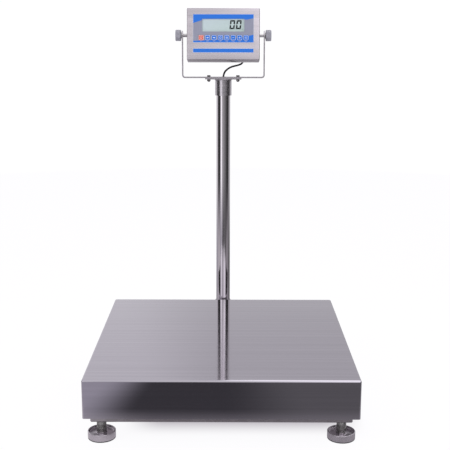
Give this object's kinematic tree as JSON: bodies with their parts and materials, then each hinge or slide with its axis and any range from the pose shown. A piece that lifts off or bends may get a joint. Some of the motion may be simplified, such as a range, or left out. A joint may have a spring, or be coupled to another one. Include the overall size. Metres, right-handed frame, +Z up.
{
  "type": "animal weighing scale",
  "caption": "Square stainless floor scale on levelling feet, with a rear mast that carries a swivelling, tilting weight indicator in a U-shaped bail.",
  "frame": {"origin": "on the floor under the middle of the object's footprint, measured without the free signal cable", "axes": "+X to the right as seen by the user, +Y back from the platform to the mast, +Z up"},
  "size_m": [0.61, 0.6999, 0.9529],
  "materials": {
    "brushed_stainless": "brushed stainless steel",
    "polished_stainless": "polished stainless steel",
    "zinc_steel": "zinc plated steel",
    "frame_paint": "grey painted steel",
    "cast_aluminium": "as cast",
    "cell_aluminium": "machined, clear anodised",
    "pad_rubber": "matt moulded rubber",
    "knob_plastic": "grey moulded plastic",
    "black_plastic": "black moulded plastic",
    "overlay_film": "printed polyester film",
    "key_red": "printed key",
    "key_blue": "printed key",
    "lcd_glass": "reflective display glass",
    "board_green": "solder resist",
    "cable_jacket": "smooth cable jacket",
    "level_vial": "tinted vial"
  },
  "bodies": {
    "platform": {"base_frame": "frame_paint", "live_frame": "cast_aluminium", "load_cell": "cell_aluminium", "load_cell_spacer_lower": "zinc_steel", "load_cell_spacer_upper": "zinc_steel", "load_cell_bolt_1": "zinc_steel", "load_cell_bolt_2": "zinc_steel", "load_cell_bolt_3": "zinc_steel", "load_cell_bolt_4": "zinc_steel", "pan_cushion_1": "pad_rubber", "pan_cushion_2": "pad_rubber", "pan_cushion_3": "pad_rubber", "pan_cushion_4": "pad_rubber", "spirit_level": "level_vial", "mast_socket": "frame_paint", "mast_bolt_1": "zinc_steel", "mast_bolt_2": "zinc_steel", "mast_tube": "polished_stainless", "load_cell_cable": "cable_jacket"},
    "pan": {"weighing_pan": "brushed_stainless"},
    "foot_1": {"foot_stud_1": "zinc_steel", "foot_pad_1": "zinc_steel", "foot_nut_1": "zinc_steel"},
    "foot_2": {"foot_stud_2": "zinc_steel", "foot_pad_2": "zinc_steel", "foot_nut_2": "zinc_steel"},
    "foot_3": {"foot_stud_3": "zinc_steel", "foot_pad_3": "zinc_steel", "foot_nut_3": "zinc_steel"},
    "foot_4": {"foot_stud_4": "zinc_steel", "foot_pad_4": "zinc_steel", "foot_nut_4": "zinc_steel"},
    "head": {"head_collar": "brushed_stainless", "collar_screw": "zinc_steel", "bail": "brushed_stainless", "bail_bolt_1": "zinc_steel", "bail_bolt_2": "zinc_steel", "signal_cable": "cable_jacket"},
    "indicator": {"case_front": "brushed_stainless", "case_rear": "brushed_stainless", "overlay": "overlay_film", "display_panel": "lcd_glass", "circuit_board": "board_green", "battery_pack": "black_plastic", "cable_gland": "black_plastic", "power_inlet": "black_plastic", "pivot_stud_left": "polished_stainless", "pivot_stud_right": "polished_stainless", "knob_washer_left": "zinc_steel", "knob_washer_right": "zinc_steel"},
    "knob_left": {"knob_left": "knob_plastic"},
    "knob_right": {"knob_right": "knob_plastic"},
    "key_1": {"key_1": "key_red"},
    "key_2": {"key_2": "key_blue"},
    "key_3": {"key_3": "key_blue"},
    "key_4": {"key_4": "key_blue"},
    "key_5": {"key_5": "key_blue"},
    "key_6": {"key_6": "key_blue"},
    "key_7": {"key_7": "key_blue"},
    "key_8": {"key_8": "key_blue"}
  },
  "joints": [
    {"name": "pan_lift", "type": "slide", "parent": "platform", "child": "pan", "axis": [0, 0, 1], "range_m": [0, 0.12]},
    {"name": "foot_1_level", "type": "slide", "parent": "platform", "child": "foot_1", "axis": [0, 0, 1], "range_m": [-0.014, 0.006]},
    {"name": "foot_2_level", "type": "slide", "parent": "platform", "child": "foot_2", "axis": [0, 0, 1], "range_m": [-0.014, 0.006]},
    {"name": "foot_3_level", "type": "slide", "parent": "platform", "child": "foot_3", "axis": [0, 0, 1], "range_m": [-0.014, 0.006]},
    {"name": "foot_4_level", "type": "slide", "parent": "platform", "child": "foot_4", "axis": [0, 0, 1], "range_m": [-0.014, 0.006]},
    {"name": "head_swivel", "type": "hinge", "parent": "platform", "child": "head", "pos_m": [0, 0.30219, 0.743], "axis": [0, 0, 1], "range_deg": [-90, 90]},
    {"name": "indicator_tilt", "type": "hinge", "parent": "head", "child": "indicator", "pos_m": [0, 0.30219, 0.881], "axis": [1, 0, 0], "range_deg": [-35, 45], "deforming": ["signal_cable"]},
    {"name": "knob_left_turn", "type": "hinge", "parent": "indicator", "child": "knob_left", "pos_m": [-0.122, 0.30219, 0.881], "axis": [-1, 0, 0], "range_deg": [0, 540]},
    {"name": "knob_right_turn", "type": "hinge", "parent": "indicator", "child": "knob_right", "pos_m": [0.122, 0.30219, 0.881], "axis": [1, 0, 0], "range_deg": [0, 540]},
    {"name": "key_1_press", "type": "slide", "parent": "indicator", "child": "key_1", "axis": [0, 0.9848, -0.1736], "range_m": [0, 0.0006], "stiffness_N_per_m": 400, "springref_m": -0.001},
    {"name": "key_2_press", "type": "slide", "parent": "indicator", "child": "key_2", "axis": [0, 0.9848, -0.1736], "range_m": [0, 0.0006], "stiffness_N_per_m": 400, "springref_m": -0.001},
    {"name": "key_3_press", "type": "slide", "parent": "indicator", "child": "key_3", "axis": [0, 0.9848, -0.1736], "range_m": [0, 0.0006], "stiffness_N_per_m": 400, "springref_m": -0.001},
    {"name": "key_4_press", "type": "slide", "parent": "indicator", "child": "key_4", "axis": [0, 0.9848, -0.1736], "range_m": [0, 0.0006], "stiffness_N_per_m": 400, "springref_m": -0.001},
    {"name": "key_5_press", "type": "slide", "parent": "indicator", "child": "key_5", "axis": [0, 0.9848, -0.1736], "range_m": [0, 0.0006], "stiffness_N_per_m": 400, "springref_m": -0.001},
    {"name": "key_6_press", "type": "slide", "parent": "indicator", "child": "key_6", "axis": [0, 0.9848, -0.1736], "range_m": [0, 0.0006], "stiffness_N_per_m": 400, "springref_m": -0.001},
    {"name": "key_7_press", "type": "slide", "parent": "indicator", "child": "key_7", "axis": [0, 0.9848, -0.1736], "range_m": [0, 0.0006], "stiffness_N_per_m": 400, "springref_m": -0.001},
    {"name": "key_8_press", "type": "slide", "parent": "indicator", "child": "key_8", "axis": [0, 0.9848, -0.1736], "range_m": [0, 0.0006], "stiffness_N_per_m": 400, "springref_m": -0.001}
  ]
}
